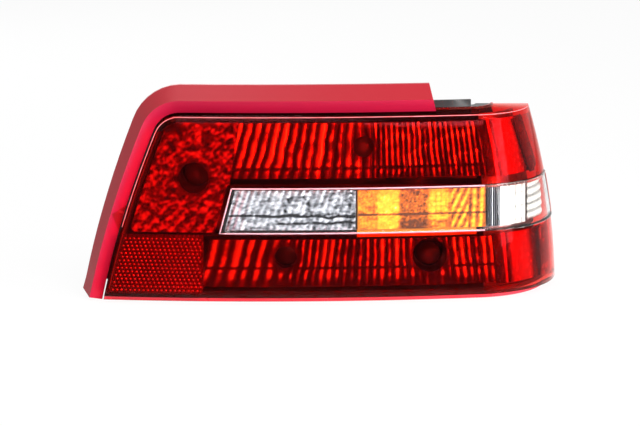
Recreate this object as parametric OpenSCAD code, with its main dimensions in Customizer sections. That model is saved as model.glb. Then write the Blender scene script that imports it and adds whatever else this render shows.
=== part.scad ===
// Right-hand rear lamp cluster of a saloon car: a red lens with a clear strip
// through its middle, wrapped round the corner of the body, on a deep housing
// that holds three reflectors and six bulbs, and a red trim round its inner end.
// X runs outboard, Y forward into the body and Z up. The origin lies on the
// body panel, in the middle of the four mounting studs.

/* [Lens] */
// Height of the lens
lens_h = 178; // [165:1:190]
// Drop of the lens's lower edge below the studs' middle
lens_drop = 82; // [78:1:86]
// Plan radius of the face
face_r = 1500; // [1300:50:1900]
// Place of the foremost line of the face along the car
face_x = -58; // [-70:1:-45]
// Turn of the face at the start of the corner, in degrees
corner_start = 8.5; // [7:0.5:10]
// Plan radius of the corner, at the lens's lower edge
corner_r = 94; // [88:1:100]
// Lean of the face at its lower edge, as a slope
lean_slope = 0.037; // [0.02:0.001:0.05]
// Radius of the face's upright crown
crown_r = 660; // [580:10:760]
// Thickness of the lens
lens_wall = 2.8; // [2.4:0.1:3.2]
// Depth of the lens's lower wall, front to rim
rim_low = 14; // [12:0.5:18]
// Depth of the lens's upper wall, front to rim, on top of the lean
rim_high = 40; // [34:1:46]
// Height of the lip under the lens
low_lip = 6; // [4:0.5:7]
// Height of the lip above the lens
high_lip = 1; // [0.6:0.1:1.1]
// Thickness of the lips
lip_t = 2.6; // [2:0.1:3]

/* [Inner end] */
// Place of the lens's inner end, at its lower edge
edge_x0 = -216.4; // [-222:0.2:-212]
// Slant of the inner end at its lower edge
edge_slope = 0.22; // [0.18:0.01:0.26]
// Growth of that slant with height
edge_bow = 0.0006; // [0.0004:0.0001:0.0008]
// Radius of the inner end's upper corner
edge_round = 26; // [22:1:32]

/* [Clear strip] */
// Lower edge of the strip above the lens's lower edge
strip_low = 64; // [60:0.5:68]
// Height of the strip
strip_h = 45.5; // [42:0.5:48]
// Inner end of the strip at its lower edge
strip_x0 = -101; // [-106:1:-96]
// Slant of the strip's inner end
strip_slope = 0.27; // [0.22:0.01:0.32]
// Red left between the strip and the end of the side
strip_end = 3; // [2.4:0.1:4]
// Height of the raised line round the strip
bead_h = 1; // [0.6:0.1:1.4]
// Width of that line
bead_w = 1.6; // [1.2:0.1:2.4]

/* [Trim] */
// Gap between the lens and the trim
trim_gap = 1.6; // [1.2:0.1:2.4]
// Thickness of the trim
trim_t = 2.6; // [2.2:0.1:3]
// Width of the inner facet
facet_w = 12.5; // [11:0.5:14]
// Width of the outer facet at the foot of the inner end
outer_w_foot = 8; // [7:0.5:10]
// Width of the outer facet along the top
outer_w_top = 13; // [11:0.5:15]
// Depth of the inner facet's inner edge behind the face
facet_depth = 14; // [12:0.5:16]
// Depth of the ridge behind the face
ridge_depth = 6; // [4:0.5:8]
// Depth of the trim's outer edge behind the face
outer_depth = 22; // [19:0.5:25]
// Outboard end of the trim
trim_end_x = 117; // [105:1:125]
// Reach of the trim below the lens
trim_foot = 7; // [5:0.5:8]
// Height of the notch above the lens's lower edge
notch_z = 86; // [76:1:96]
// Width of the notch
notch_w = 9; // [6:0.5:12]
// Depth of the notch
notch_d = 1.4; // [1:0.1:1.8]

/* [Housing] */
// Wall of the housing
shell_wall = 2.5; // [2.2:0.1:3]
// Thickness of the sealant between lens and housing
sealant_t = 1.2; // [0.8:0.1:1.6]
// Depth of the band behind the rim
band_depth = 14; // [12:1:18]
// Step from that band in to the tub
tub_step = 8; // [6:0.5:10]
// Thickness of the rim's flange
flange_t = 3; // [2.6:0.1:3.6]
// Reach of that flange above the lens and past its inner end
flange_reach = 8; // [7:0.5:10]
// Outboard end of the flange above the lens
flange_end_x = 160; // [150:1:165]
// Thickness of the foam gasket, from the tub to the body panel
gasket_t = 6; // [5:0.5:8]
// Width of the foam gasket
gasket_w = 6; // [5:0.5:7]
// Distance between the studs along the car's width
stud_span_x = 264; // [260:1:268]
// Distance between the studs in height
stud_span_z = 124; // [112:2:130]
// Thread size of the studs
stud_d = 6; // [5:0.5:8]
// Length of the studs behind the body panel
stud_len = 20; // [15:1:25]
// Across flats of the studs' hexagon collar
stud_collar = 12; // [11:1:14]

/* [Bulbs] */
// Diameter of a bulb's glass
glass_d = 25; // [22:0.5:27]
// Length of a bulb's glass
glass_len = 34; // [30:1:38]
// Diameter of a bulb's metal base
base_d = 15; // [14:0.5:16]
// Length of a bulb's metal base
base_len = 17; // [15:0.5:19]
// Middle of the glass in front of the body panel
glass_y = 62; // [58:1:66]
// Diameter of a holder's barrel
barrel_d = 24; // [22:0.5:26]
// Diameter of a holder's flange
holder_d = 32; // [30:0.5:33]
// Length of a holder behind the tub
holder_back = 24; // [20:1:28]

/* [Reflectors] */
// Thickness of the reflectors
mirror_t = 2; // [1.6:0.1:2.4]
// Width of one flute
flute_w = 9.5; // [8:0.5:12]
// Depth of a flute
flute_d = 1.8; // [1.2:0.1:2.4]
// Hollow radius of the upper reflector
upper_r = 34; // [33:0.5:36]
// Hollow radius of the strip's reflector
strip_r = 26; // [25:0.5:28]
// Hollow radius of the lower reflector
lower_r = 22; // [21:0.5:23]
// Deepest line of the reflectors in front of the body panel
mirror_y = 50; // [48:1:54]
// Clearance of a bulb in its reflector
glass_gap = 3; // [2:0.5:4]
// Diameter of the posts that carry the reflectors
post_d = 8; // [7:0.5:10]

/* [Hidden] */
$fn = 48;

crown_steps = 12;
edge_steps = 10;
round_steps = 7;
clear = 0.3;
far = 400;
rim_top = rim_high + lean(lens_h);
strip_top = strip_low + strip_h;
back_y = -gasket_t;
corner_x = face_x + (face_r - corner_r) * sin(corner_start);
corner_y = back_y;
face_centre = corner_y + (face_r - corner_r) * cos(corner_start);
lower_z = tub_step + shell_wall + clear + mirror_t + lower_r - lens_drop;
inner_span = 10;
last_turn = 60;
set_back = 0.05;

// Places of the bulbs on the body panel, from the studs' middle
stop_at = [-124, 35];
tail_at = [43, 62];
reverse_at = [-20, 3];
turn_at = [96, -2];
lower_inner_at = [-34, lower_z];
lower_outer_at = [110, lower_z];
BULBS = [stop_at, tail_at, reverse_at, turn_at, lower_inner_at, lower_outer_at];

// How far the face leans back at height h, and how deep the rim lies there
function lean(h) = lean_slope * h + h * h / (2 * crown_r);
function rim(h) = rim_low + (rim_top - rim_low) * h / lens_h;
function between(a, b, t) = a + (b - a) * t;

// The face seen from the side, set in by some depth
function face_line(inset, low, high) = [for (i = [0:crown_steps])
    let (h = between(low, high, i / crown_steps)) [-lean(h) - inset, h]];

// The slanted inner end seen from the front
function edge_at(h) = edge_x0 + edge_slope * h + edge_bow * h * h;
function edge_tilt(h) = atan(edge_slope + 2 * edge_bow * h);
round_z = lens_h - edge_round;
round_from = round_z + edge_round * sin(edge_tilt(round_z));
round_x = edge_at(round_from) + edge_round * cos(edge_tilt(round_from));
edge_low = -10;
function edge_line(out) = concat(
    [for (i = [0:edge_steps]) let (h = between(edge_low, round_from, i / edge_steps), a = edge_tilt(h))
        [edge_at(h) - out * cos(a), h + out * sin(a)]],
    [for (i = [1:round_steps]) let (a = between(edge_tilt(round_from), 90, i / round_steps))
        [round_x - (edge_round + out) * cos(a), round_z + (edge_round + out) * sin(a)]]);

// All that lies outboard of the inner end, set out by some distance
module end_prism(out)
    translate([0, far, -lens_drop]) rotate([90, 0, 0]) linear_extrude(2 * far)
        polygon(concat(edge_line(out), [[far, lens_h + edge_round], [far, edge_low - out]]));

// Moves to a place in three steps, whole and then finer, so that the arcs that
// meet at the corner's start meet there without a step
function whole(v) = floor(v);
function fine(v) = floor((v - whole(v)) * 1e5) / 1e5;
function rest(v) = v - whole(v) - fine(v);
module set_at(x, y)
    translate([whole(x), whole(y), 0]) translate([fine(x), fine(y), 0]) translate([rest(x), rest(y), 0]) children();

// Carries a side view along the face, round the corner and down the side.
// In that view x is the distance from the face and y the height.
module along_face()
    set_at(face_x, face_centre) translate([0, 0, -lens_drop])
        rotate_extrude(start = 270 - inner_span, angle = inner_span + corner_start, $fn = 480)
            translate([face_r, 0]) children();

module along_corner(from, to)
    set_at(corner_x, corner_y) translate([0, 0, -lens_drop])
        rotate_extrude(start = 270 + from, angle = to - from, $fn = 120)
            intersection() {
                translate([corner_r, 0]) children();
                translate([0, -far]) square([far, 2 * far]);
            }

module along_lamp() {
    along_face() children();
    along_corner(corner_start, 90) children();
}

// All space in front of the plane y, and a slab that ends at the lamp's back
module in_front_of(y)
    translate([-far, y - 2 * far, -far]) cube([2 * far, 2 * far, 2 * far]);

module back_slab(t)
    translate([-far, back_y - t, -far]) cube([2 * far, t, 2 * far]);

module inboard_of(x)
    translate([x - 2 * far, -far, -far]) cube([2 * far, 2 * far, 2 * far]);

// Side view of all that lies between the face and the rim, set in by some wall
module lens_view(inset, past)
    polygon(concat([[sealant_t - rim(inset) - past, inset]], face_line(inset, inset, lens_h - inset),
        [[sealant_t - rim(lens_h - inset) - past, lens_h - inset]]));

module lens_wall_view() {
    difference() {
        lens_view(0, 0);
        lens_view(lens_wall, 8);
    }
    translate([sealant_t - rim(0), -low_lip]) square([lip_t, low_lip + lens_wall / 2]);
    top_back = sealant_t - rim(lens_h);
    top_foot = lens_h - lens_wall / 2;
    polygon([[top_back, lens_h], [top_back, lens_h + high_lip], [top_back + lip_t, lens_h + high_lip],
        [top_back + lip_t, top_foot], [sealant_t - rim(top_foot), top_foot]]);
}

// A wall at the inner end, between two distances from it
module end_wall(from, to)
    difference() {
        end_prism(from);
        end_prism(to);
    }

module lens_shell() {
    intersection() {
        along_lamp() lens_wall_view();
        end_prism(0);
    }
    intersection() {
        along_face() lens_view(lens_wall / 2, -set_back);
        end_wall(0, -lens_wall);
    }
    intersection() {
        along_corner(last_turn, 90) lens_view(lens_wall / 2, -set_back);
        back_slab(lens_wall);
    }
}

// All that lies outboard of the strip's slanted end
module strip_prism(out)
    translate([0, far, -lens_drop]) rotate([90, 0, 0]) linear_extrude(2 * far)
        polygon([[strip_x0 - out, strip_low - out],
            [strip_x0 + strip_slope * strip_h - out, strip_top + out],
            [far, strip_top + out], [far, strip_low - out]]);

module strip_view(out, deep, proud)
    polygon(concat(
        face_line(deep, strip_low - out, strip_top + out),
        [for (i = [crown_steps:-1:0]) face_line(-proud, strip_low - out, strip_top + out)[i]]));

module strip_band(out, deep, proud)
    intersection() {
        along_lamp() strip_view(out, deep, proud);
        strip_prism(out);
        in_front_of(back_y - strip_end + out);
    }

module red_lens()
    color("crimson") difference() {
        lens_shell();
        strip_band(0, lens_wall + 4, 4);
    }

module clear_strip_lens()
    color("gainsboro") union() {
        strip_band(0, lens_wall, 0);
        difference() {
            strip_band(0, 0.5, bead_h);
            strip_band(-bead_w, 4, 4);
        }
    }

// Trim: a sheet with two facets that turns in along the lens to the housing
function surf_y(x, h, d) = let (rr = face_r - lean(h) - d, x_end = face_x + rr * sin(corner_start))
    x < x_end ? face_centre - sqrt(rr * rr - pow(x - face_x, 2))
        : corner_y - sqrt(max(1, pow(corner_r - lean(h) - d, 2) - pow(x - corner_x, 2)));
top_steps = 10;
trim_stations = edge_steps + round_steps + top_steps;
function station(i) = i <= edge_steps
    ? let (h = between(-trim_foot, round_from, i / edge_steps)) [edge_at(h), h, edge_tilt(h)]
    : i <= edge_steps + round_steps
    ? let (a = between(edge_tilt(round_from), 90, (i - edge_steps) / round_steps))
        [round_x - edge_round * cos(a), round_z + edge_round * sin(a), a]
    : [between(round_x, trim_end_x, (i - edge_steps - round_steps) / top_steps), lens_h, 90];
function outer_w(i) = between(outer_w_foot, outer_w_top, min(1, i / (edge_steps + round_steps)));
end_slant = 0.25;
foot_slant = 0.5;
function trim_point(i, out, depth) =
    let (s = station(i), x = s[0] - out * cos(s[2]), z = s[1] + out * sin(s[2]),
        xe = i == trim_stations ? x - end_slant * out : x,
        ze = i == 0 ? z + foot_slant * max(0, out - facet_w) : z,
        d = depth < 0 ? max(leg_low, rim(min(lens_h, max(0, ze))) - lean(ze) - clear) : depth)
    [xe, surf_y(xe, ze, d), ze - lens_drop];
leg_end = -1;
leg_low = facet_depth + trim_t + 1;
function trim_ring(i) =
    let (a = trim_gap, r = a + facet_w, o = r + outer_w(i))
    [trim_point(i, a, facet_depth), trim_point(i, r, ridge_depth), trim_point(i, o, outer_depth),
     trim_point(i, o, outer_depth + trim_t + 2), trim_point(i, o - trim_t, outer_depth + trim_t + 2),
     trim_point(i, o - trim_t, outer_depth + trim_t), trim_point(i, r, ridge_depth + trim_t + 1),
     trim_point(i, a + trim_t, facet_depth + trim_t), trim_point(i, a + trim_t, leg_end),
     trim_point(i, a, leg_end)];
trim_sides = 10;

module trim_sheet() {
    points = [for (i = [0:trim_stations]) each trim_ring(i)];
    quads = [for (i = [0:trim_stations - 1]) for (k = [0:trim_sides - 1])
        let (n = (k + 1) % trim_sides, p = i * trim_sides, q = p + trim_sides) [p + k, q + k, q + n, p + n]];
    end = trim_stations * trim_sides;
    caps = [[0, 1, 6, 7], [1, 2, 5, 6], [2, 3, 4, 5], [0, 7, 8, 9]];
    last = [for (c = caps) [for (k = [3:-1:0]) end + c[k]]];
    polyhedron(points, concat(quads, caps, last), convexity = 6);
}

module flange_trim()
    color("firebrick") difference() {
        trim_sheet();
        trim_notch();
    }

// Places of the clips that hold the trim's leg on the flange above the lens,
// each with its axis pointing at the face
clip_x = [-100, -30, 40, 100];
clip_w = 10;
clip_t = 0.8;
clip_tongue = 12;
clip_plate = 3.4;
clip_gap = 0.15;
module at_clips()
    for (x = clip_x)
        translate([x, surf_y(x, lens_h, rim(lens_h) - lean(lens_h)), lens_h + trim_gap + trim_t + clip_gap - lens_drop])
            rotate([0, 0, asin((x - face_x) / (face_r - rim(lens_h)))])
                rotate([90, 0, 0]) translate([-clip_w / 2, 0, 0]) children();

// A shallow notch across the inner facet
module trim_notch() {
    a = edge_tilt(notch_z);
    w = facet_w + trim_gap;
    drop = facet_depth - ridge_depth;
    translate([edge_at(notch_z), surf_y(edge_at(notch_z), notch_z, facet_depth), notch_z - lens_drop])
        rotate([0, a, 0]) rotate([0, 0, atan(drop / facet_w)])
            translate([-w, -far + notch_d, -notch_w / 2]) cube([w, far, notch_w]);
}

module lens_sealant()
    color("dimgray") difference() {
        seal_slab(0, 0);
        seal_slab(lens_wall, 2);
    }

module seal_slab(inset, past)
    intersection() {
        along_lamp()
            polygon([[-rim(inset) - past, inset], [-rim(inset) + sealant_t + past, inset],
                [-rim(lens_h - inset) + sealant_t + past, lens_h - inset],
                [-rim(lens_h - inset) - past, lens_h - inset]]);
        end_prism(-inset);
        in_front_of(back_y - inset);
    }

// Housing: a band behind the rim, a flange round it and a deep tub
module band_view(inset, back) {
    depth = band_depth - back;
    polygon([[-rim(inset) - back, inset], [-rim(lens_h - inset) - back, lens_h - inset],
        [-rim(lens_h - inset) - depth, lens_h - inset], [-rim(inset) - depth, inset]]);
}

module tub_view(inset, from)
    polygon([[-rim(tub_step + inset) - from, tub_step + inset],
        [-rim(lens_h - tub_step - inset) - from, lens_h - tub_step - inset],
        [-far / 2, lens_h - tub_step - inset], [-far / 2, tub_step + inset]]);

module band_wall_view() {
    difference() {
        band_view(0, 0);
        band_view_open();
    }
    foot = shell_wall / 2;
    polygon([[-rim(0) - flange_t, -low_lip], [-rim(0), -low_lip], [-rim(0), 0], [-rim(foot), foot],
        [-rim(0) - flange_t, foot]]);
}

// What is open inside the band: all but its walls and the step at its back
module band_view_open() {
    low = shell_wall;
    high = lens_h - shell_wall;
    back = band_depth - shell_wall;
    polygon([[9 - rim(low), low], [9 - rim(high), high], [-rim(high) - back, high], [-rim(low) - back, low]]);
    tub_view(shell_wall, -5);
}

module tub_wall_view()
    difference() {
        tub_view(0, band_depth - shell_wall / 2);
        tub_view(shell_wall, 0);
    }

module step_view() {
    low = shell_wall / 2;
    high = lens_h - shell_wall / 2;
    front = band_depth - shell_wall + set_back;
    back = band_depth - set_back;
    polygon([[-rim(low) - front, low], [-rim(high) - front, high], [-rim(high) - back, high], [-rim(low) - back, low]]);
}

module top_flange_view()
    translate([-rim(lens_h) - flange_t, lens_h - shell_wall / 2]) square([flange_t, flange_reach + shell_wall / 2]);

module end_flange_view() {
    low = -rim(flange_from) - 2 * set_back;
    high = -rim(lens_h) - 2 * set_back;
    polygon([[low, flange_from], [high, lens_h], [high, lens_h + 1], [high - flange_t, lens_h + 1],
        [low - flange_t, flange_from]]);
}

flange_from = 1 + (leg_low + clear - rim_low) * lens_h / (rim_top - rim_low);
panel_low = tub_step + 1 - lens_drop;
panel_high = lens_h - tub_step - 1 - lens_drop;

module housing_walls() {
    // Band, with its step, and the flange below it
    intersection() {
        along_lamp() band_wall_view();
        end_prism(0);
    }
    // Tub, cut off at the back wall
    intersection() {
        along_face() tub_wall_view();
        end_prism(-tub_step);
        in_front_of(back_y);
    }
    along_corner(corner_start, 90) tub_wall_view();
    // Inner end: band, step, tub and flange
    intersection() {
        along_face() band_view(shell_wall / 2, set_back);
        end_wall(0, -shell_wall);
    }
    intersection() {
        along_face() step_view();
        end_wall(-shell_wall / 2, -tub_step - shell_wall / 2);
    }
    intersection() {
        along_face() tub_view(shell_wall / 2, band_depth - shell_wall / 2);
        end_wall(-tub_step, -tub_step - shell_wall);
        in_front_of(back_y);
    }
    intersection() {
        along_face() end_flange_view();
        end_wall(flange_reach, -shell_wall / 2);
    }
    // Flange above the lens
    intersection() {
        along_face() top_flange_view();
        end_prism(flange_reach);
        inboard_of(flange_end_x);
    }
    // Back wall, and the end walls of the band and the tub behind the corner
    translate([0, 0, panel_low]) intersection() {
        translate([-far, back_y - shell_wall, 0]) cube([far + corner_x + 1, shell_wall, panel_high - panel_low]);
        translate([0, 0, -panel_low]) end_prism(-tub_step - shell_wall / 2);
    }
    intersection() {
        along_corner(last_turn, 90) union() {
            tub_view(shell_wall / 2, 1);
            band_view(shell_wall / 2, set_back);
        }
        back_slab(shell_wall);
    }
}

collar_h = 5;
collar_wall = 2.5;
holder_gap = 0.3;

module housing()
    color("dimgray") difference() {
        union() {
            housing_walls();
            for (p = BULBS) on_panel(p, -gasket_t - shell_wall - collar_h, collar_h + shell_wall)
                circle(d = barrel_d + 2 * (holder_gap + collar_wall));
            studs_at() translate([0, 0, gasket_t]) cylinder(d = stud_collar + 4, h = shell_wall + 4);
        }
        for (p = BULBS) on_panel(p, -far / 4, far / 4) circle(d = barrel_d + 2 * holder_gap);
        studs_at() stud_root(1);
        for (p = vents) on_panel(p, -far / 4, far / 4) circle(d = vent_d);
        at_clips() translate([-clear, -clip_gap, -flange_t - 2])
            cube([clip_w + 2 * clear, clip_t + 2 * clip_gap, flange_t + 4]);
    }

// A flat outline on the body panel's side, from depth y forward by a length
module on_panel(p, y, length)
    translate([p[0], y + length, p[1]]) rotate([90, 0, 0]) linear_extrude(length) children();

// Four places at the studs, each with its axis pointing at the face
module studs_at()
    for (x = [-1, 1], z = [-1, 1])
        translate([x * stud_span_x / 2, 0, z * stud_span_z / 2]) rotate([90, 0, 0]) children();

// The six-sided root that the housing is moulded round, past its outer end
root_flats = 7;
root_len = 14;
module stud_root(past)
    translate([0, 0, gasket_t - past]) cylinder(d = root_flats / cos(30), h = root_len + past, $fn = 6);

module mounting_studs()
    color("silver") studs_at() {
        translate([0, 0, -stud_len]) cylinder(d = stud_d, h = stud_len + gasket_t);
        stud_root(1);
        translate([0, 0, collar_back]) cylinder(d = stud_collar / cos(30), h = gasket_t - collar_back, $fn = 6);
    }

collar_back = 2;

// Foam gasket: a loop near the back wall's edge, with a pad round each stud
gasket_edge = 3;
pad_d = 26;
pad_gap = 1;
module gasket_outline(inset) {
    low = tub_step + gasket_edge + inset;
    high = lens_h - tub_step - gasket_edge - inset;
    side = tub_step + gasket_edge + inset;
    polygon([[edge_at(low) + side, low], [edge_at(high) + side, high], [corner_x - gasket_edge - inset, high],
        [corner_x - gasket_edge - inset, low]]);
}

module body_gasket()
    color("dimgray") difference() {
        union() {
            on_panel([0, -lens_drop], -gasket_t, gasket_t) difference() {
                gasket_outline(0);
                gasket_outline(gasket_w);
            }
            studs_at() cylinder(d = pad_d, h = gasket_t);
        }
        studs_at() translate([0, 0, -1]) cylinder(d = stud_collar / cos(30) + 2 * pad_gap, h = gasket_t + 2);
        for (p = BULBS) on_panel(p, -gasket_t - 1, gasket_t + 2) circle(d = holder_d + 2 * pad_gap);
    }

// Reflectors: a hollow trough of fluted metal, made by turning its lengthwise
// outline about a level axis in front of it
flute_steps = 4;
function flute(t) = flute_d * sqrt(1 - pow(2 * t - 1, 2));
function flute_line(r, from, to) = let (n = ceil((to - from) / flute_w))
    [for (i = [0:n * flute_steps]) [r - flute((i % flute_steps) / flute_steps),
        min(to, from + i * flute_w / flute_steps)]];

module trough(r, ends, down, up, z)
    translate([0, -mirror_y - r, z]) rotate([0, 90, 0])
        rotate_extrude(start = 90 - down, angle = down + up, $fn = 96)
            polygon(concat(flute_line(r, ends[0], ends[1]), [[r + mirror_t, ends[1]], [r + mirror_t, ends[0]]]));

module slanted_trough(r, ends, down, up, z)
    intersection() {
        trough(r, ends, down, up, z);
        slant_prism(ends[0], z - r - mirror_t, z + r, ends[1]);
    }

module bulb_holes() for (p = BULBS) on_panel(p, -far / 2, far / 2) circle(d = glass_d + 2 * glass_gap);

module posts(xs, z) for (x = xs)
    on_panel([x, z], -mirror_y - 0.5, mirror_y - gasket_t - shell_wall + 0.5 - clear) circle(d = post_d);

// What lies outboard of a line that slants as the inner end does
slant = 0.26;
module slant_prism(x0, low, high, x1)
    translate([0, far, 0]) rotate([90, 0, 0]) linear_extrude(2 * far)
        polygon([[x0, low], [x0 + slant * (high - low), high], [x1, high], [x1, low]]);

tail_z = 57;
strip_z = -1;
tail_ends = [-97, 158];
lower_ends = [-128, 160];
strip_ends = [-108, 158];
tail_turn = 51;
lower_turn = [90, 50];
strip_turn = 58;
floor_y = 92;

module tail_reflector()
    color("silver") difference() {
        union() {
            slanted_trough(upper_r, tail_ends, tail_turn, tail_turn, tail_z);
            posts([-60, -10, 100], tail_z);
        }
        bulb_holes();
    }

module lower_reflector()
    color("silver") difference() {
        union() {
            slanted_trough(lower_r, lower_ends, lower_turn[0], lower_turn[1], lower_z);
            translate([lower_ends[0], -floor_y, lower_z - lower_r - mirror_t])
                cube([lower_ends[1] - lower_ends[0], floor_y - mirror_y - lower_r + 0.5, mirror_t]);
            posts([-85, 30, 148], lower_z);
        }
        bulb_holes();
    }

module strip_reflector()
    color("silver") difference() {
        union() {
            slanted_trough(strip_r, strip_ends, strip_turn, strip_turn, strip_z);
            posts([-70, 35, 140], strip_z);
        }
        bulb_holes();
    }

// The stop lamp's reflector: a round dish of stepped rings
dish_r = 78;
dish_rings = 9;
dish_bow = 0.003;
ring_d = 1.2;
function dish_curve(x) = dish_bow * x * x;
module dish_view() {
    ring = dish_r / dish_rings;
    front = [for (i = [0:dish_rings - 1]) each let (x = i * ring)
        [[x, dish_curve(x)], [x + ring / 2, dish_curve(x + ring / 2) + ring_d]]];
    back = [for (i = [dish_rings:-1:0]) let (x = i * ring) [x, dish_curve(x) - mirror_t]];
    polygon(concat(front, [[dish_r, dish_curve(dish_r)]], back));
}

module stop_reflector()
    color("silver") difference() {
        union() {
            intersection() {
                translate([stop_at[0], -mirror_y, stop_at[1]]) rotate([90, 0, 0])
                    rotate_extrude($fn = 96) dish_view();
                stop_prism();
            }
            posts([-155, -112], 5);
        }
        bulb_holes();
    }

module stop_prism()
    translate([0, far, 0]) rotate([90, 0, 0]) linear_extrude(2 * far)
        polygon([[-188, -15], [-163, 75], [-152, 84], [-92, 84], [-112, 24], [-122, -15]]);

// Bulbs and their holders, built along the car and set in place
module bulb() {
    rotate([90, 0, 0]) {
        back = glass_y - glass_len / 2;
        translate([0, 0, back - base_len + 3]) cylinder(d = base_d, h = base_len);
        translate([0, 0, back + 3]) cylinder(d = base_d - 1.5, h = 6);
        translate([0, 0, glass_y + glass_len / 2 - glass_d / 2]) sphere(d = glass_d);
        translate([0, 0, back + 8]) cylinder(d1 = base_d - 1.5, d2 = glass_d * 0.98, h = 9);
        translate([0, 0, back + 14]) cylinder(d = glass_d * 0.98, h = glass_len - 14 - glass_d / 2);
    }
}

module bulb_at(p, tint) color(tint) translate([p[0], 0, p[1]]) bulb();
module stop_bulb() bulb_at(stop_at, "white");
module tail_bulb() bulb_at(tail_at, "white");
module reverse_bulb() bulb_at(reverse_at, "white");
module turn_bulb() bulb_at(turn_at, "orange");
module lower_inner_bulb() bulb_at(lower_inner_at, "white");
module lower_outer_bulb() bulb_at(lower_outer_at, "white");

seal_t = 2;
seal_d = 3;
shroud_w = 16;
shroud_h = 9;
shroud_depth = 11;
blade_w = 6.3;
blade_t = 0.8;
blade_len = 8;
holder_plate = 4;
barrel_front = glass_y - glass_len / 2 - 2;

module holder()
    rotate([90, 0, 0]) difference() {
        union() {
            translate([0, 0, gasket_t]) mirror([0, 0, 1]) translate([0, 0, seal_t])
                cylinder(d = holder_d, h = holder_plate);
            translate([0, 0, gasket_t - seal_t - 1]) cylinder(d = barrel_d, h = barrel_front - gasket_t + seal_t + 1);
            translate([-shroud_w / 2 - 2, -shroud_h / 2 - 2, gasket_t - holder_back])
                cube([shroud_w + 4, shroud_h + 4, holder_back - seal_t - 1]);
            for (a = [0, 180]) rotate([0, 0, a]) translate([shroud_w / 2, -1.5, gasket_t - holder_back + 6])
                cube([holder_d / 2 - shroud_w / 2 - 1, 3, holder_back - 6 - seal_t - 1]);
        }
        translate([0, 0, barrel_front - 12]) cylinder(d = base_d + 0.4, h = 13);
        translate([-shroud_w / 2, -shroud_h / 2, gasket_t - holder_back - 1])
            cube([shroud_w, shroud_h, shroud_depth + 1]);
    }

module holder_at(p) color("dimgray") translate([p[0], 0, p[1]]) holder();
module stop_holder() holder_at(stop_at);
module tail_holder() holder_at(tail_at);
module reverse_holder() holder_at(reverse_at);
module turn_holder() holder_at(turn_at);
module lower_inner_holder() holder_at(lower_inner_at);
module lower_outer_holder() holder_at(lower_outer_at);

module holder_seal(p)
    color("black") on_panel(p, -gasket_t, seal_t) difference() {
        circle(d = holder_d);
        circle(d = barrel_d + 2 * clear);
    }
module stop_holder_seal() holder_seal(stop_at);
module tail_holder_seal() holder_seal(tail_at);
module reverse_holder_seal() holder_seal(reverse_at);
module turn_holder_seal() holder_seal(turn_at);
module lower_inner_holder_seal() holder_seal(lower_inner_at);
module lower_outer_holder_seal() holder_seal(lower_outer_at);

module holder_terminals()
    color("goldenrod") for (p = BULBS, s = [-1, 1])
        translate([p[0] + s * shroud_w / 4 - blade_t / 2, holder_back - gasket_t - shroud_depth, p[1] - blade_w / 2])
            cube([blade_t, blade_len, blade_w]);

vent_d = 9;
vents = [[-75, 58], [70, 20]];
module vent_cap(p)
    color("black") translate([p[0], 0, p[1]]) rotate([90, 0, 0]) {
        translate([0, 0, gasket_t + shell_wall - 3]) cylinder(d = vent_d - 0.2, h = 3);
        translate([0, 0, 1]) cylinder(d = 16, h = gasket_t - 1);
    }
module vent_cap_inner() vent_cap(vents[0]);
module vent_cap_outer() vent_cap(vents[1]);

module trim_clips()
    color("silver") at_clips() {
        translate([0, 0, -flange_t - clip_gap - clip_t]) cube([clip_w, clip_plate, clip_t]);
        translate([0, 0, -flange_t - clip_gap - clip_t]) cube([clip_w, clip_t, flange_t + clip_tongue]);
    }

// Plates and panels that follow the face from behind
module follow_view(depth, thick, low, high)
    polygon(concat(face_line(depth, low, high),
        [for (i = [crown_steps:-1:0]) face_line(depth + thick, low, high)[i]]));

prism_pitch = 4.5;
module reflex_view(low, high) {
    n = floor((high - low) / prism_pitch);
    depth = lens_wall + clear;
    polygon(concat([[-lean(low) - depth, low]], [[-lean(high) - depth, high]],
        [for (i = [2 * n:-1:0]) let (h = low + i * prism_pitch / 2)
            [-lean(h) - depth - (i % 2 == 0 ? 1.6 : 3.2), h]]));
}

module reflex_plate()
    color("darkred") intersection() {
        along_face() reflex_view(4, 62);
        end_prism(-lens_wall - clear);
        inboard_of(-118);
    }

module side_reflex(low, high) color("darkred") along_corner(40, 86) reflex_view(low, high);
module side_reflex_upper() side_reflex(strip_top + 5, lens_h - 8);
module side_reflex_lower() side_reflex(5, strip_low - 5);

// Amber cover: a box, open at its back, whose walls end at the strip's reflector
amber_ends = [37, 157];
amber_depth = 9;
amber_t = 2;
strip_half = strip_r * sin(strip_turn);
strip_mouth = mirror_y + strip_r - (strip_r - flute_d) * cos(strip_turn);
module amber_view() {
    low = strip_z - strip_half + lens_drop;
    high = strip_z + strip_half + lens_drop;
    follow_view(amber_depth, amber_t, low, high);
    for (h = [low, high - amber_t])
        translate([-far / 2, h]) square([far / 2 - amber_depth - amber_t / 2 - lean(h), amber_t]);
}

module amber_cover()
    color("orange") intersection() {
        along_face() amber_view();
        in_front_of(-strip_mouth - clear);
        translate([amber_ends[0], -far, -far]) cube([amber_ends[1] - amber_ends[0], 2 * far, 2 * far]);
    }

module corner_reflector()
    color("silver") along_corner(corner_start + 3, 70)
        follow_view(16, mirror_t, shell_wall + clear, lens_h - lens_wall - clear);

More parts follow.
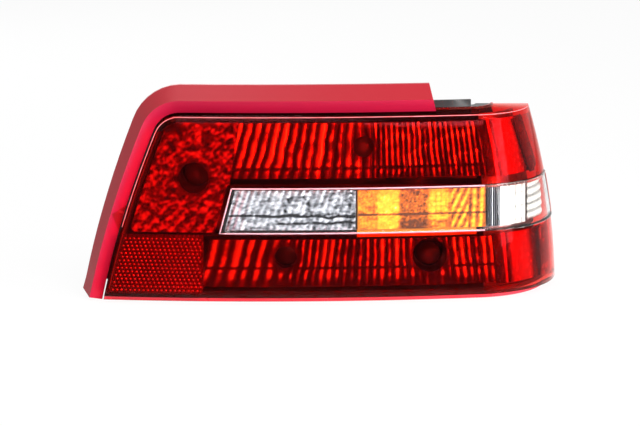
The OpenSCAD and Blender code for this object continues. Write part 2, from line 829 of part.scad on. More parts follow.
housing();
red_lens();
clear_strip_lens();
flange_trim();
lens_sealant();
body_gasket();
mounting_studs();
stop_reflector();
tail_reflector();
strip_reflector();
lower_reflector();
corner_reflector();
amber_cover();
reflex_plate();
side_reflex_upper();
side_reflex_lower();
stop_bulb();
tail_bulb();
reverse_bulb();
turn_bulb();
lower_inner_bulb();
lower_outer_bulb();
stop_holder();
tail_holder();
reverse_holder();
turn_holder();
lower_inner_holder();
lower_outer_holder();
stop_holder_seal();
tail_holder_seal();
reverse_holder_seal();
turn_holder_seal();
lower_inner_holder_seal();
lower_outer_holder_seal();
holder_terminals();
vent_cap_inner();
vent_cap_outer();
trim_clips();
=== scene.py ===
import math

import bmesh
import bpy
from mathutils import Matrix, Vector, noise as field


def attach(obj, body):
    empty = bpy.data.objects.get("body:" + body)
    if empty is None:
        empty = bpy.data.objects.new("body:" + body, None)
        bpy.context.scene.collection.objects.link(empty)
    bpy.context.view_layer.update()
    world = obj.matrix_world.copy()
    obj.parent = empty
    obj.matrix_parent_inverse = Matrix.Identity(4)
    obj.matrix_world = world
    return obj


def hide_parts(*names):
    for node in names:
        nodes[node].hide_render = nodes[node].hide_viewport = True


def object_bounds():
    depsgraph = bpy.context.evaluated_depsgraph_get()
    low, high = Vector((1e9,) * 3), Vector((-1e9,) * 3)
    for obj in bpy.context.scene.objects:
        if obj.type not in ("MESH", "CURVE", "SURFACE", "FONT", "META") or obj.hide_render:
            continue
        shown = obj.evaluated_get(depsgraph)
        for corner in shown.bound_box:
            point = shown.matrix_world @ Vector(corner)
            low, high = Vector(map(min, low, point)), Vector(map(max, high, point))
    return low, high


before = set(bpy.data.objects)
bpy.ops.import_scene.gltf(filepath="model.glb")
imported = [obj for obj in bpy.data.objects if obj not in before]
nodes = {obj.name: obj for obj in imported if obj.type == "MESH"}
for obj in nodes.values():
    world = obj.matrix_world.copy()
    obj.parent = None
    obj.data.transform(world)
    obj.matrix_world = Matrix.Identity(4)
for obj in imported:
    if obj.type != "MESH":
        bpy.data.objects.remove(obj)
cad_low, cad_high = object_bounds()
MM = 0.001

# The camera stands where the photograph was taken from
CAMERA_LIFT = math.radians(12.8)
CAMERA_REACH = 2.53
TARGET = Vector((0, -0.0918, 0))
camera_data = bpy.data.cameras.new("camera")
camera_data.sensor_width = 36
camera_data.lens = 142.3
camera_data.clip_start = 0.05
camera = bpy.data.objects.new("camera", camera_data)
camera.location = TARGET + CAMERA_REACH * Vector((0, -math.cos(CAMERA_LIFT), math.sin(CAMERA_LIFT)))
camera.rotation_mode = "QUATERNION"
camera.rotation_quaternion = (TARGET - camera.location).to_track_quat("-Z", "Y")
bpy.context.scene.collection.objects.link(camera)
bpy.context.scene.camera = camera

# Shape of the lens, as in the part's source, in millimetres
LENS_H, LENS_DROP = 178, 82
FACE_R, FACE_X, CORNER_START, CORNER_R, BACK_Y = 1500, -58, 8.5, 94, -6
CORNER_X = FACE_X + (FACE_R - CORNER_R) * math.sin(math.radians(CORNER_START))
FACE_CENTRE = BACK_Y + (FACE_R - CORNER_R) * math.cos(math.radians(CORNER_START))


def lean(h):
    return 0.037 * h + h * h / 1320


def edge_x(h):
    return -216.4 + 0.22 * h + 0.0006 * h * h


def corner_from(h, depth):
    """Where along the car's width the corner begins, at a height and depth."""
    return FACE_X + (FACE_R - lean(h) - depth) * math.sin(math.radians(CORNER_START))


def on_face(x, h, depth):
    r = FACE_R - lean(h) - depth
    return Vector((x, FACE_CENTRE - math.sqrt(r * r - (x - FACE_X) ** 2), h - LENS_DROP)) * MM


def on_corner(turn, h, depth):
    r, a = CORNER_R - lean(h) - depth, math.radians(turn)
    return Vector((CORNER_X + r * math.sin(a), BACK_Y - r * math.cos(a), h - LENS_DROP)) * MM


# Materials. Each one is a Principled shader with procedural colour, gloss and grain
def shader_kit(name):
    mat = bpy.data.materials.new(name)
    mat.use_nodes = True
    tree = mat.node_tree
    tree.nodes.clear()
    out = tree.nodes.new("ShaderNodeOutputMaterial")
    coords = tree.nodes.new("ShaderNodeTexCoord").outputs["Object"]
    return mat, tree, out, coords


def add(tree, kind, inputs=(), **settings):
    node = tree.nodes.new(kind)
    for key, value in settings.items():
        setattr(node, key, value)
    for key, value in dict(inputs).items():
        if isinstance(value, bpy.types.NodeSocket):
            tree.links.new(value, node.inputs[key])
        else:
            node.inputs[key].default_value = value
    return node


def calc(tree, how, a, b=0.0, c=0.0):
    return add(tree, "ShaderNodeMath", {0: a, 1: b, 2: c}, operation=how).outputs[0]


def noise(tree, coords, scale, detail=3, stretch=(1, 1, 1), turn=(0, 0, 0), distort=0.0):
    place = add(tree, "ShaderNodeMapping", {"Vector": coords, "Scale": stretch, "Rotation": turn})
    return add(tree, "ShaderNodeTexNoise", {"Vector": place.outputs[0], "Scale": scale, "Detail": detail,
                                            "Distortion": distort}).outputs["Fac"]


def ramp(tree, fac, stops):
    node = add(tree, "ShaderNodeValToRGB", {"Fac": fac})
    band = node.color_ramp
    while len(band.elements) < len(stops):
        band.elements.new(0.5)
    for element, (place, colour) in zip(band.elements, stops):
        element.position = place
        element.color = (*colour, 1) if len(colour) == 3 else colour
    return node.outputs["Color"]


def scaled(colour, k):
    return tuple(min(1, c * k) for c in colour)


def finish_principled(tree, out, base, rough, bump=None, strength=0.1, distance=0.0003, **plain):
    bsdf = add(tree, "ShaderNodeBsdfPrincipled", {"Base Color": base, "Roughness": rough})
    for key, value in plain.items():
        bsdf.inputs[key.replace("_", " ")].default_value = value
    if bump is not None:
        bumped = add(tree, "ShaderNodeBump", {"Height": bump, "Strength": strength, "Distance": distance})
        tree.links.new(bumped.outputs[0], bsdf.inputs["Normal"])
    tree.links.new(bsdf.outputs[0], out.inputs["Surface"])
    return bsdf


def plain_finish(name, colour, rough=0.4, spread=0.12, scale=90, grain=900, strength=0.12, **plain):
    """A moulded, rubber or metal finish: a colour that drifts a little, with a fine grain."""
    mat, tree, out, coords = shader_kit(name)
    drift = noise(tree, coords, scale, 4)
    base = ramp(tree, drift, [(0.25, scaled(colour, 1 - spread)), (0.75, scaled(colour, 1 + spread))])
    gloss = calc(tree, "MULTIPLY_ADD", noise(tree, coords, scale * 3, 3), 0.16, rough - 0.08)
    finish_principled(tree, out, base, gloss, noise(tree, coords, grain, 2), strength, 0.0002, **plain)
    return mat


def lens_finish(name, tint, through, glare=(1, 1, 1), rough=0.03, ior=1.28):
    """Clear or tinted lens plastic that also lets the light in to the reflectors."""
    mat, tree, out, coords = shader_kit(name)
    glass = add(tree, "ShaderNodeBsdfPrincipled", {"Base Color": (*tint, 1), "Roughness": rough, "IOR": ior,
                                                   "Transmission Weight": 1.0, "Specular Tint": (*glare, 1)})
    wave = noise(tree, coords, 14, 2)
    bumped = add(tree, "ShaderNodeBump", {"Height": wave, "Strength": 0.04, "Distance": 0.0006})
    tree.links.new(bumped.outputs[0], glass.inputs["Normal"])
    open_way = add(tree, "ShaderNodeBsdfTransparent", {"Color": (*through, 1)})
    path = add(tree, "ShaderNodeLightPath")
    mix = add(tree, "ShaderNodeMixShader", {0: path.outputs["Is Shadow Ray"], 1: glass.outputs[0],
                                            2: open_way.outputs[0]})
    tree.links.new(mix.outputs[0], out.inputs["Surface"])
    return mat


def painted_glint_shader(name, stops, rough=0.2, metallic=0.8, strength=0.3):
    """Metallised facets with painted glints: each point's own lightness, kept on the mesh as glint, picks its colour,
    from painted shade at the dark end to painted highlight and reflection at the bright end.
    """
    mat, tree, out, coords = shader_kit(name)
    glint = add(tree, "ShaderNodeAttribute", attribute_name="glint").outputs["Fac"]
    fine = noise(tree, coords, 420, 3, (1.0, 0.4, 0.5))
    level = calc(tree, "MULTIPLY_ADD", fine, 0.24, calc(tree, "SUBTRACT", glint, 0.12))
    gloss = calc(tree, "MULTIPLY_ADD", fine, 0.2, rough - 0.1)
    finish_principled(tree, out, ramp(tree, level, stops), gloss, fine, strength, 0.0005, Metallic=metallic)
    return mat


housing_plastic = plain_finish("housing_plastic", (0.022, 0.021, 0.022), 0.45, strength=0.2)


def trim_with_painted_facet_light(name, outer, inner):
    """Red trim whose two facets differ by painted light: the colour follows how far the surface faces the front,
    darker on the outer facet as painted shade and lighter on the inner facet as painted light.
    """
    mat, tree, out, coords = shader_kit(name)
    faced = add(tree, "ShaderNodeSeparateXYZ", {"Vector": add(tree, "ShaderNodeNewGeometry").outputs["Normal"]})
    front = calc(tree, "MULTIPLY_ADD", noise(tree, coords, 30, 3), 0.03, calc(tree, "MULTIPLY", faced.outputs["Y"], -1.0))
    base = ramp(tree, front, [(0.0, outer), (FACET_FROM, outer), (FACET_TO, inner), (1.0, inner)])
    gloss = calc(tree, "MULTIPLY_ADD", noise(tree, coords, 90, 3), 0.14, 0.27)
    finish_principled(tree, out, base, gloss, noise(tree, coords, 1400, 2), 0.05, 0.0002, Specular_IOR_Level=0.22)
    return mat


# The outer facet gets a darker red as painted shade and the inner facet a lighter red as painted light, one moulded
# red in truth.
FACET_FROM, FACET_TO = 0.86, 0.90
trim_red = trim_with_painted_facet_light("trim_red", (0.36, 0.010, 0.020), (0.56, 0.010, 0.055))
red_lens = lens_finish("red_lens_plastic", (0.86, 0.066, 0.042), (1.0, 0.56, 0.46), (0.70, 0.12, 0.18), ior=1.22)
clear_lens = lens_finish("clear_lens_plastic", (0.97, 0.97, 0.97), (0.98, 0.98, 0.98))
sealant = plain_finish("sealant", (0.030, 0.028, 0.028), 0.6)
foam = plain_finish("foam", (0.020, 0.020, 0.020), 0.9, 0.3, 200, 1800, 0.6)
zinc_steel = plain_finish("zinc_steel", (0.62, 0.60, 0.52), 0.32, 0.12, 160, 1500, 0.08, Metallic=1.0)
holder_plastic = plain_finish("holder_plastic", (0.045, 0.045, 0.050), 0.5, strength=0.2)
seal_rubber = plain_finish("seal_rubber", (0.012, 0.012, 0.012), 0.7)
terminal_brass = plain_finish("terminal_brass", (0.72, 0.52, 0.22), 0.28, Metallic=1.0)
# Bright red for the lower lip, partly its own red and partly painted highlight.
lip_red_and_highlight = plain_finish("lip_red_and_highlight", (0.72, 0.05, 0.10), 0.3, 0.1, 40, 900, 0.05)
# A pinkish colour for thin tubes that are painted highlight lines along the lens's edges.
edge_highlight_pink = plain_finish("edge_highlight_pink", (0.80, 0.34, 0.40), 0.18, 0.1, 60, 900, 0.05)
# The reflectors get a dark red-brown metal, painted shade for the walls and gaps seen between the facet plates.
mirror_back = plain_finish("mirror_back", (0.16, 0.13, 0.13), 0.3, 0.3, 120, 700, 0.2, Metallic=0.8)
# These ramps run from painted shade at the dark end to painted highlight and painted reflection at the bright end.
band_metal = painted_glint_shader("band_metal", [(0.12, (0.050, 0.006, 0.010)), (0.42, (0.30, 0.05, 0.04)),
                                         (0.66, (0.96, 0.66, 0.20)), (0.92, (1.0, 1.0, 0.42))])
stop_metal = painted_glint_shader("stop_metal", [(0.10, (0.035, 0.008, 0.014)), (0.40, (0.22, 0.04, 0.06)),
                                         (0.66, (0.72, 0.16, 0.16)), (0.92, (1.0, 0.62, 0.55))])
clear_metal = painted_glint_shader("clear_metal", [(0.10, (0.015, 0.015, 0.02)), (0.42, (0.24, 0.25, 0.28)),
                                           (0.66, (0.56, 0.58, 0.63)), (0.95, (0.92, 0.94, 0.98))], 0.18, 0.7)
amber_plastic = painted_glint_shader("amber_plastic", [(0.06, (0.10, 0.02, 0.002)), (0.34, (0.50, 0.10, 0.004)),
                                               (0.60, (0.95, 0.34, 0.01)), (0.80, (1.0, 0.55, 0.03)),
                                               (0.97, (1.0, 0.86, 0.45))], 0.2, 0.15)
# The corner's bright stops give its painted highlight band.
corner_highlight_metal = painted_glint_shader("corner_highlight_metal", [(0.10, (0.010, 0.002, 0.003)), (0.45, (0.16, 0.012, 0.02)),
                                             (0.75, (0.62, 0.05, 0.07)), (0.95, (0.95, 0.25, 0.22))], 0.25, 0.5)
pale_plate = painted_glint_shader("pale_plate", [(0.10, (0.05, 0.05, 0.045)), (0.50, (0.27, 0.26, 0.24)),
                                         (0.90, (0.60, 0.59, 0.54))], 0.3, 0.1, 0.15)
reflex_red = painted_glint_shader("reflex_red", [(0.10, (0.05, 0.004, 0.008)), (0.50, (0.11, 0.008, 0.014)),
                                         (0.66, (0.42, 0.10, 0.10)), (0.92, (0.95, 0.40, 0.34))], 0.25, 0.3)
cell_red = plain_finish("cell_red", (0.62, 0.16, 0.14), 0.18, 0.5, 140, 900, 0.1, Metallic=0.4)
# Bulb glass painted dark grey, standing in for the shade the bulbs sit in behind the lens.
bulb_glass = plain_finish("bulb_glass", (0.10, 0.09, 0.10), 0.08, 0.3, 120, 500, 0.02, Metallic=0.3)
amber_glass = plain_finish("amber_glass", (0.75, 0.28, 0.02), 0.08, 0.1, 200, 500, 0.02)


# Copies of the CAD nodes with merged points and smooth curves
def smoothed(node, material, angle=32):
    source = nodes[node]
    mesh = source.data.copy()
    piece = bpy.data.objects.new("look_" + node, mesh)
    bpy.context.scene.collection.objects.link(piece)
    bm = bmesh.new()
    bm.from_mesh(mesh)
    bmesh.ops.remove_doubles(bm, verts=bm.verts, dist=2e-6)
    bm.to_mesh(mesh)
    bm.free()
    for polygon in mesh.polygons:
        polygon.use_smooth = True
    mesh.set_sharp_from_angle(angle=math.radians(angle))
    mesh.materials.clear()
    mesh.materials.append(material)
    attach(piece, "root")
    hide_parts(node)
    return piece


LOOKS = [
    ("housing", housing_plastic, "housing_plastic"),
    ("red_lens", red_lens, "red_lens"),
    ("clear_strip_lens", clear_lens, "clear_lens"),
    ("flange_trim", trim_red, "trim_red"),
    ("lens_sealant", sealant, "sealant"),
    ("body_gasket", foam, "foam"),
    ("mounting_studs", zinc_steel, "zinc_steel"),
    ("stop_reflector", mirror_back, "mirror_metal"),
    ("tail_reflector", mirror_back, "mirror_metal"),
    ("strip_reflector", mirror_back, "mirror_metal"),
    ("lower_reflector", mirror_back, "mirror_metal"),
    ("corner_reflector", mirror_back, "mirror_metal"),
    ("amber_cover", amber_glass, "amber_lens"),
    ("holder_terminals", terminal_brass, "terminal_brass"),
    ("vent_cap_inner", seal_rubber, "seal_rubber"),
    ("vent_cap_outer", seal_rubber, "seal_rubber"),
    ("trim_clips", zinc_steel, "zinc_steel"),
]
for lamp in ("stop", "tail", "reverse", "turn", "lower_inner", "lower_outer"):
    LOOKS.append((lamp + "_bulb", amber_glass if lamp == "turn" else bulb_glass,
                  "amber_glass" if lamp == "turn" else "bulb_glass"))
    LOOKS.append((lamp + "_holder", holder_plastic, "holder_plastic"))
    LOOKS.append((lamp + "_holder_seal", seal_rubber, "seal_rubber"))
pieces = {node: smoothed(node, material) for node, material, slot in LOOKS}


# Facet plates: fine metallised optics that follow the lens from behind, each
# point with its own depth and its own lightness, the lightness being painted
# reflection, glint and shade
def on_lamp(x, h, depth):
    if x <= corner_from(h, depth):
        return on_face(x, h, depth)
    r = CORNER_R - lean(h) - depth
    return Vector((x, BACK_Y - math.sqrt(max(1, r * r - (x - CORNER_X) ** 2)), h - LENS_DROP)) * MM


def facet_plate(name, material, left, right, low, high, look, cell=1.2, holes=(), thick=1.2):
    """look(x, h) gives the depth behind the face and the painted lightness there."""
    rows = max(2, round((high - low) / cell))
    columns = max(2, round((right(high) - left(high)) / cell))
    points, glints, faces = [], [], []
    for j in range(rows + 1):
        h = low + (high - low) * j / rows
        for i in range(columns + 1):
            x = left(h) + (right(h) - left(h)) * i / columns
            px, ph = x, h
            for hx, hh, hr in holes:
                far = math.hypot(px - hx, ph - hh)
                if 0.01 < far and abs(far - hr) < 0.72 * cell:
                    px, ph = hx + (px - hx) * hr / far, hh + (ph - hh) * hr / far
            depth, glint = look(px, ph)
            points.append(on_lamp(px, ph, depth))
            glints.append(glint)
    def outside(corners):
        x = sum(points[c].x for c in corners) / 4 / MM
        h = sum(points[c].z for c in corners) / 4 / MM + LENS_DROP
        return all(math.hypot(x - hx, h - hh) > hr - 0.1 * cell for hx, hh, hr in holes)
    for j in range(rows):
        for i in range(columns):
            a = j * (columns + 1) + i
            corners = (a, a + 1, a + columns + 2, a + columns + 1)
            if outside(corners):
                faces.append(corners)
    mesh = bpy.data.meshes.new(name)
    mesh.from_pydata(points, [], faces)
    attribute = mesh.attributes.new("glint", "FLOAT", "POINT")
    attribute.data.foreach_set("value", glints)
    piece = bpy.data.objects.new(name, mesh)
    bpy.context.scene.collection.objects.link(piece)
    mesh.materials.append(material)
    shell = piece.modifiers.new("thickness", "SOLIDIFY")
    shell.thickness = thick * MM
    shell.offset = -1
    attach(piece, "root")
    return piece


def soft(a, b, v):
    t = min(1, max(0, (v - a) / (b - a)))
    return t * t * (3 - 2 * t)


def rough_field(x, h, size_x, size_h, seed=0.0):
    return field.noise(Vector((x / size_x, h / size_h, seed)))


def ring_shade(x, h, holes, reach=9):
    """Lightness falls off round a bulb's hole."""
    shade = 1
    for hx, hh, hr in holes:
        far = math.hypot(x - hx, (h - hh))
        shade *= 0.35 + 0.65 * soft(hr, hr + reach, far)
    return shade


STOP_HOLES = [(-126, 118, 15)]
TAIL_HOLES = [(43.5, 148, 10)]
LOWER_HOLES = [(-34, 40, 11), (110, 40, 17)]


def streaks(x, h, middle, lean_left, lean_right, wide, narrow, change, seed):
    """Lightness of upright flutes whose lean and spacing drift along the lamp, as painted reflection: bright crests,
    dashes and sparkles of light are painted into it.
    """
    t = soft(-110, 165, x)
    slanted = x - (lean_left + (lean_right - lean_left) * t) * (h - middle)
    count = slanted / wide if slanted < change else change / wide + (slanted - change) / narrow
    count += 0.13 * rough_field(x, h, 26, 15, seed)
    wave = 0.5 + 0.5 * math.cos(2 * math.pi * count)
    own = field.cell(Vector((math.floor(count + 0.5), seed, 0)))
    dash = rough_field(math.floor(count + 0.5) * 3.1, h, 1.0, 9, seed + 4)
    painted_sparkle = max(0, rough_field(x, h, 2.6, 3.4, seed + 8))
    return wave, 0.12 + 0.66 * wave + 0.22 * (own - 0.5) + 0.36 * dash * wave + 0.30 * painted_sparkle * wave


def stop_look(x, h):
    # Painted reflection: the pillow facets' mottle of light and dark, diagonal streaks of light on the low part, and
    # a darker patch near the top left.
    a = math.radians(38)
    u, v = x * math.cos(a) + h * math.sin(a), -x * math.sin(a) + h * math.cos(a)
    u += 2.5 * rough_field(x, h, 11, 11, 2)
    v += 2.0 * rough_field(x, h, 9, 9, 5)
    pyramid = abs((u / 7.5) % 1 - 0.5) + abs((v / 5.0) % 1 - 0.5)
    patch = rough_field(x, h, 9, 6, 7)
    low_part = soft(104, 76, h)
    level = 0.44 + 0.22 * (pyramid - 0.5) + 0.50 * patch + 0.42 * rough_field(x, h, 3.2, 3.2, 9)
    level += low_part * (0.18 * math.cos(2 * math.pi * (x - 0.9 * h) / 13) + 0.04)
    level *= 1 - 0.55 * soft(158, 164, h) * soft(-165, -160, x) * soft(-135, -140, x)
    return 6.5 - 1.4 * pyramid, level * ring_shade(x, h, STOP_HOLES, 5)


def tail_look(x, h):
    wave, level = streaks(x, h, 145, 0.30, -0.14, 9.6, 5.6, 52, 1)
    # Darker along a line at the step, painted shade darker towards the band's top, darker between 20 and 60 mm
    # across, and painted highlight on the crests towards the corner.
    level *= 1 - 0.75 * soft(2.6, 0.6, abs(h - 127 - 0.01 * x))
    level *= 0.55 + 0.45 * soft(119, 129, h)
    level *= 1 - 0.35 * soft(60, 20, x) * soft(20, 60, x)
    level += 0.10 * soft(80, 140, x) * wave
    return 7.5 - 2.2 * wave, level * ring_shade(x, h, TAIL_HOLES, 12)


def lower_look(x, h):
    wave, level = streaks(x, h, 34, 0.28, -0.12, 12.2, 7.4, -30, 2)
    # Darker along a line at the step, painted shade darker towards the band's bottom, and painted highlight on the
    # crests near x = -66.
    level *= 1 - 0.7 * soft(2.2, 0.5, abs(h - 29))
    level *= 0.35 + 0.65 * soft(12 + 8 * math.exp(-((x - 110) / 26) ** 2), 22, h)
    level += 0.22 * wave * math.exp(-((x + 66) / 15) ** 2)
    return 7.5 - 2.2 * wave, level * ring_shade(x, h, LOWER_HOLES, 8)


def silver_look(x, h):
    # Painted reflection: the silvered strip's sparkle and its ladder of lit facets; darker along two lines and a
    # ring, and darker in patches on the right.
    row = h + 2.0 * rough_field(x, h, 18, 10, 3)
    ladder = 0.5 + 0.5 * math.cos(2 * math.pi * (x - 0.35 * h) / 6.8)
    level = 0.58 + 0.50 * rough_field(x, h, 3.6, 2.2, 6) + 0.40 * rough_field(x, h, 12, 5, 8) + 0.16 * (ladder - 0.5)
    level -= 0.65 * soft(1.8, 0.5, abs(row - 80.5 + 0.01 * x))
    level -= 0.50 * soft(1.6, 0.4, abs(row - 74 - 0.02 * x)) * soft(-60, -40, x)
    around = math.hypot(x + 23, (h - 90) * 1.3)
    level -= 0.55 * soft(3, 0, abs(around - 13)) * (0.6 + 0.6 * rough_field(x, h, 3, 3, 11))
    level -= 0.4 * soft(-2, 12, x) * abs(rough_field(x, h, 3.5, 3.5, 12))
    return 6.5 - 1.2 * ladder, level


def amber_look(x, h):
    # Painted light: lighter bands and rib crests as painted highlight, a darker dotted stretch, darker grid lines, a
    # dark line along the top and darker towards the bottom middle.
    level = 0.43 + 0.22 * rough_field(x, h, 2.4, 2.0, 21) + 0.24 * rough_field(x, h, 7, 5, 22)
    bright = soft(56, 59, x) * soft(80, 76, x) + soft(108, 110, x) * soft(129, 127, x)
    level += 0.24 * bright
    level -= (0.12 + 0.5 * max(0, rough_field(x, h, 2.2, 2.2, 24))) * soft(79, 82, x) * soft(109, 106, x)
    if 108 < x < 129:
        level -= 0.10 * soft(1.2, 0.4, abs((x - 108) % 5.2 - 2.6)) + 0.10 * soft(1.2, 0.4, abs((h - 66) % 5 - 2.5))
    if x > 131:
        level += 0.24 * math.cos(2 * math.pi * (x - (0.5 if x < 149 else 0.05) * h) / 7.5)
    level -= 0.50 * soft(1.5, 0.4, abs(h - 81.5))
    level -= 0.22 * soft(78, 74, h) * soft(76, 84, x) * soft(136, 128, x)
    return 6.5, level


def corner_painted_highlight(x, h, start):
    # Painted highlight: a thin bright stripe and a broad bright band across the corner, standing for the reflection
    # of a strip lamp, darker past them.
    across = x - start
    level = 0.16 + 0.55 * soft(9, 10, across) * soft(12.5, 11.5, across) + 0.52 * soft(14, 19, across)
    level -= 0.5 * soft(34, 44, across)
    return 7, level + 0.06 * rough_field(x, h, 5, 40, 31)


def reflex_look(x, h):
    # The prisms' dot pattern is lit as painted glints, and the plate gets lighter towards the right.
    row = math.floor(h / 3.7)
    dot = math.cos(2 * math.pi * (x / 4.5 + 0.5 * (row % 2))) * math.sin(math.pi * (h / 3.7 - row))
    broad = 0.20 * soft(-175, -135, x) + 0.16 * rough_field(x, h, 20, 20, 41)
    return 4.9, 0.20 + 0.22 * dot + broad


def side_reflex_look(x, h):
    square = field.cell(Vector((x / 5, h / 6.5, 3)))
    return 4.5, 0.15 + 0.5 * square


def stop_left(h):
    x = edge_x(min(h, 161)) + 9
    if h > 152:
        x = max(x, -141 - 18 * math.cos(math.asin(min(1, (h - 152) / 20))))
    return x + (8 * (1 - math.sqrt(1 - ((73 - h) / 9) ** 2)) if h < 73 else 0)


def strip_end_x(h):
    return -101 + 0.27 * (h - 64)


facet_plate("stop_facets", stop_metal, stop_left,
            lambda h: strip_end_x(h) - 4 if h < 111 else -90 + 0.15 * (h - 112), 64.5, 171.5, stop_look, 1.1, STOP_HOLES)
facet_plate("tail_flutes", band_metal, lambda h: -89.6 + 0.15 * (h - 112),
            lambda h: 167 - 0.2 * (h - 117), 117.5, 171, tail_look, 1.1, TAIL_HOLES)
facet_plate("lower_flutes", band_metal, lambda h: -118.5 + 0.19 * (h - 10),
            lambda h: 177 - 0.1 * (h - 10), 10, 57.5, lower_look, 1.1, LOWER_HOLES)
facet_plate("strip_facets", clear_metal, lambda h: strip_end_x(h) + 4,
            lambda h: 35.5, 67, 106.5, silver_look, 1.0)
facet_plate("amber_facets", amber_plastic, lambda h: 38, lambda h: 166, 67, 106.5, amber_look, 1.0)
facet_plate("corner_upper", corner_highlight_metal, lambda h: 168 - 0.2 * (h - 117),
            lambda h: 222 - 0.35 * (h - 117), 116, 172, lambda x, h: corner_painted_highlight(x, h, 168 - 0.2 * (h - 117)), 1.2)
facet_plate("corner_lower", corner_highlight_metal, lambda h: 178 - 0.1 * (h - 10),
            lambda h: 228 - 0.06 * h, 8, 59, lambda x, h: corner_painted_highlight(x, h, 178 - 0.1 * (h - 10)), 1.2)
# On the ribbed block and the louvres, the lightness follows the relief as painted light and shade on each rib.
facet_plate("strip_block", clear_metal, lambda h: 167.5, lambda h: 181, 67, 106.5,
            lambda x, h: (7 - 0.8 * math.cos(x * 2.8), 0.26 + 0.2 * math.cos(x * 2.8)), 0.7)
facet_plate("strip_pale", pale_plate, lambda h: 181.5, lambda h: 207, 67, 106.5,
            lambda x, h: (7, 0.84 - 0.3 * soft(1, 0.3, abs((x - 181) % 6.5 - 3)) - 0.2 * soft(1, 0.3, abs(h % 13 - 6))), 0.8)
facet_plate("strip_ribs", pale_plate, lambda h: 209.5, lambda h: 226, 68, 106,
            lambda x, h: (8 - 1.6 * abs(math.sin(math.pi * (h - 68) / 7.6)),
                          0.25 + 0.6 * abs(math.sin(math.pi * (h - 68) / 7.6))), 0.8)
# A thin sheet at the lens's lower lip in a bright red, partly the lip's own red and partly a painted highlight along
# its front edge.
facet_plate("lower_lip_face", lip_red_and_highlight, lambda h: edge_x(h) + 0.4, lambda h: 229, -5.7, -0.4,
            lambda x, h: (9.9, 0.5), 1.3, thick=0.2)
reflex = facet_plate("reflex_prisms", reflex_red, lambda h: edge_x(h) + 3.4,
                     lambda h: -116 - 0.02 * (66 - h), 3.5, 62.5, reflex_look, 0.9)
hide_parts("reflex_plate")


# Prisms of the reflex: one small cone repeated at each place of a staggered grid
def cone_cells():
    tree = bpy.data.node_groups.new("cone_cells", "GeometryNodeTree")
    for name, kind in (("Geometry", "Geometry"), ("Radius", "Float"), ("Height", "Float"), ("Finish", "Material")):
        tree.interface.new_socket(name, in_out="INPUT", socket_type="NodeSocket" + kind)
    tree.interface.new_socket("Geometry", in_out="OUTPUT", socket_type="NodeSocketGeometry")
    given = tree.nodes.new("NodeGroupInput").outputs
    cone = add(tree, "GeometryNodeMeshCone", {"Vertices": 6, "Radius Top": 0.0, "Radius Bottom": given["Radius"],
                                              "Depth": given["Height"]})
    placed = add(tree, "GeometryNodeInstanceOnPoints", {"Points": given["Geometry"], "Instance": cone.outputs["Mesh"],
                                                        "Rotation": (math.pi / 2, 0, 0)})
    real = add(tree, "GeometryNodeRealizeInstances", {"Geometry": placed.outputs[0]})
    done = add(tree, "GeometryNodeSetMaterial", {"Geometry": real.outputs[0], "Material": given["Finish"]})
    add(tree, "NodeGroupOutput", {"Geometry": done.outputs[0]})
    return tree


def cell_piece(name, places, radius, height, material):
    mesh = bpy.data.meshes.new(name)
    mesh.from_pydata(places, [], [])
    piece = bpy.data.objects.new(name, mesh)
    bpy.context.scene.collection.objects.link(piece)
    modifier = piece.modifiers.new("cells", "NODES")
    modifier.node_group = cone_cells()
    given = {"Radius": radius * MM, "Height": height * MM, "Finish": material}
    for item in modifier.node_group.interface.items_tree:
        if item.in_out == "INPUT" and item.name in given:
            modifier[item.identifier] = given[item.name]
    graph = bpy.context.evaluated_depsgraph_get()
    plain = bpy.data.meshes.new_from_object(piece.evaluated_get(graph), depsgraph=graph)
    piece.modifiers.clear()
    piece.data = plain
    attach(piece, "root")
    return piece


PRISM_WIDE, PRISM_HIGH = 4.5, 3.7
cells = []
for row in range(15):
    h = 6.2 + row * PRISM_HIGH
    x = edge_x(h) + 7 + PRISM_WIDE / 2 * (row % 2)
    while x < -119:
        cells.append(on_lamp(x, h, 4.7))
        x += PRISM_WIDE
cell_piece("reflex_cells", cells, 1.15, 0.9, cell_red)
upper = facet_plate("side_prisms_upper", reflex_red, lambda h: 212 - 0.35 * (h - 117),
                    lambda h: 236 - lean(h) - 4, 115, 170, side_reflex_look, 1.2)
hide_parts("side_reflex_upper")
lower = facet_plate("side_prisms_lower", reflex_red, lambda h: 226 - 0.06 * h,
                    lambda h: 239.5 - lean(h), 6, 59, side_reflex_look, 1.2)
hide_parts("side_reflex_lower")


# A pinkish tube along the lens's moulded front edge and round the clear strip, a painted highlight line where the
# rounded edge catches the light
def highlight_bead(name, path, radius, material, sides=6):
    points, faces = [], []
    for k, place in enumerate(path):
        ahead = (path[min(k + 1, len(path) - 1)] - path[max(k - 1, 0)]).normalized()
        side = ahead.cross(Vector((0, -1, 0))).normalized()
        up = side.cross(ahead).normalized()
        for q in range(sides):
            a = 2 * math.pi * q / sides
            points.append(place + (side * math.cos(a) + up * math.sin(a)) * radius * MM)
    for k in range(len(path) - 1):
        for q in range(sides):
            n = (q + 1) % sides
            faces.append((k * sides + q, k * sides + n, (k + 1) * sides + n, (k + 1) * sides + q))
    last = (len(path) - 1) * sides
    faces += [tuple(range(sides))[::-1], tuple(last + q for q in range(sides))]
    mesh = bpy.data.meshes.new(name)
    mesh.from_pydata(points, [], faces)
    for polygon in mesh.polygons:
        polygon.use_smooth = True
    bm = bmesh.new()
    bm.from_mesh(mesh)
    bmesh.ops.recalc_face_normals(bm, faces=bm.faces)
    bm.to_mesh(mesh)
    bm.free()
    mesh.materials.append(material)
    piece = bpy.data.objects.new(name, mesh)
    bpy.context.scene.collection.objects.link(piece)
    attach(piece, "root")
    return piece


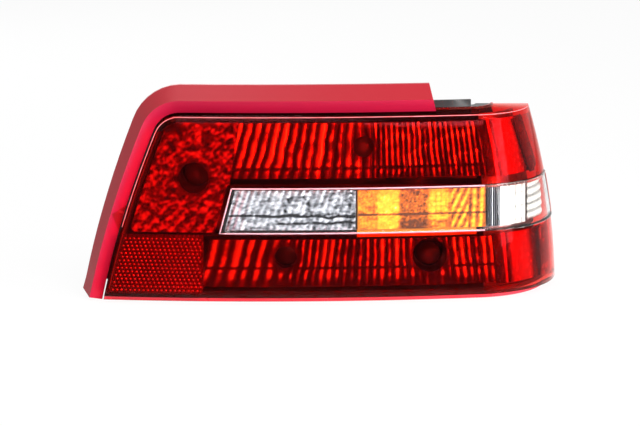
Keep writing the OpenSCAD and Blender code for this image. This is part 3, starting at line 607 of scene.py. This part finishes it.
inner_edge = [on_lamp(edge_x(h) + 0.7, h, 0.5) for h in range(70, 162, 3)]
for step in range(1, 9):
    a = math.radians(22 + 68 * step / 8)
    inner_edge.append(on_lamp(-141 - 25.4 * math.cos(a), 152 + 25.4 * math.sin(a), 0.5))
top_edge = [on_lamp(x, LENS_H - 0.7, 0.5) for x in range(-136, 150, 6)]
top_edge += [on_corner(turn, LENS_H - 0.7, 0.5) for turn in range(10, 89, 4)]
highlight_bead("lens_front_edge_highlight", inner_edge + top_edge, 0.55, edge_highlight_pink)
strip_border_highlight = [on_lamp(x, 64.6, 0.5) for x in range(165, -101, -7)]
strip_border_highlight += [on_lamp(strip_end_x(h) + 0.8, h, 0.5) for h in (64.6, 76, 87, 98, 108.6)]
strip_border_highlight += [on_lamp(x, 108.6, 0.5) for x in range(-87, 166, 7)]
highlight_bead("strip_border_highlight", strip_border_highlight, 0.6, edge_highlight_pink)


# Studio: a white room that only the camera and the reflections see, and soft lamps
def light(name, place, aim, width, height, power, colour=(1, 1, 1)):
    data = bpy.data.lights.new(name, "AREA")
    data.shape = "RECTANGLE"
    data.size, data.size_y = width, height
    data.energy = power
    data.color = colour
    lamp = bpy.data.objects.new(name, data)
    lamp.location = place
    lamp.rotation_mode = "QUATERNION"
    lamp.rotation_quaternion = (Vector(aim) - Vector(place)).to_track_quat("-Z", "Y")
    bpy.context.scene.collection.objects.link(lamp)
    return lamp


light("key", (0.75, -1.15, 1.75), (0, -0.05, 0), 0.8, 0.8, 30)
light("top", (-0.3, -0.2, 1.8), (0, -0.05, 0), 1.2, 0.8, 12)
light("strip", (1.30, -0.92, 0.2), (0.1, -0.08, 0), 0.50, 1.6, 30)
light("back", (-0.6, 1.6, 0.9), (0, 0, 0), 1.2, 0.9, 10)

world = bpy.data.worlds.new("white_room")
bpy.context.scene.world = world
world.use_nodes = True
wt = world.node_tree
wt.nodes.clear()
w_path = add(wt, "ShaderNodeLightPath")
seen = calc(wt, "MAXIMUM", w_path.outputs["Is Camera Ray"], w_path.outputs["Is Transmission Ray"])
seen = calc(wt, "MAXIMUM", seen, w_path.outputs["Is Glossy Ray"])
dim = add(wt, "ShaderNodeBackground", {"Color": (1, 1, 1, 1), "Strength": 0.32})
white = add(wt, "ShaderNodeBackground", {"Color": (1, 1, 1, 1), "Strength": 1.0})
w_mix = add(wt, "ShaderNodeMixShader", {0: seen, 1: dim.outputs[0], 2: white.outputs[0]})
w_out = add(wt, "ShaderNodeOutputWorld", {"Surface": w_mix.outputs[0]})

FLOOR_Z = cad_low.z
floor_mesh = bpy.data.meshes.new("floor")
floor_mesh.from_pydata([(-4, -4, FLOOR_Z), (4, -4, FLOOR_Z), (4, 4, FLOOR_Z), (-4, 4, FLOOR_Z)], [], [(0, 1, 2, 3)])
floor = bpy.data.objects.new("floor", floor_mesh)
bpy.context.scene.collection.objects.link(floor)
floor_mat, ft, f_out, f_coords = shader_kit("floor_paper")
f_path = add(ft, "ShaderNodeLightPath")
paper = add(ft, "ShaderNodeBsdfDiffuse", {"Color": (0.85, 0.85, 0.85, 1)})
glow = add(ft, "ShaderNodeEmission", {"Color": (1, 1, 1, 1), "Strength": 1.0})
f_seen = calc(ft, "MULTIPLY", f_path.outputs["Is Camera Ray"], 0.93)
f_mix = add(ft, "ShaderNodeMixShader", {0: f_seen, 1: paper.outputs[0], 2: glow.outputs[0]})
ft.links.new(f_mix.outputs[0], f_out.inputs["Surface"])
floor_mesh.materials.append(floor_mat)

bpy.context.scene.view_settings.view_transform = "Standard"
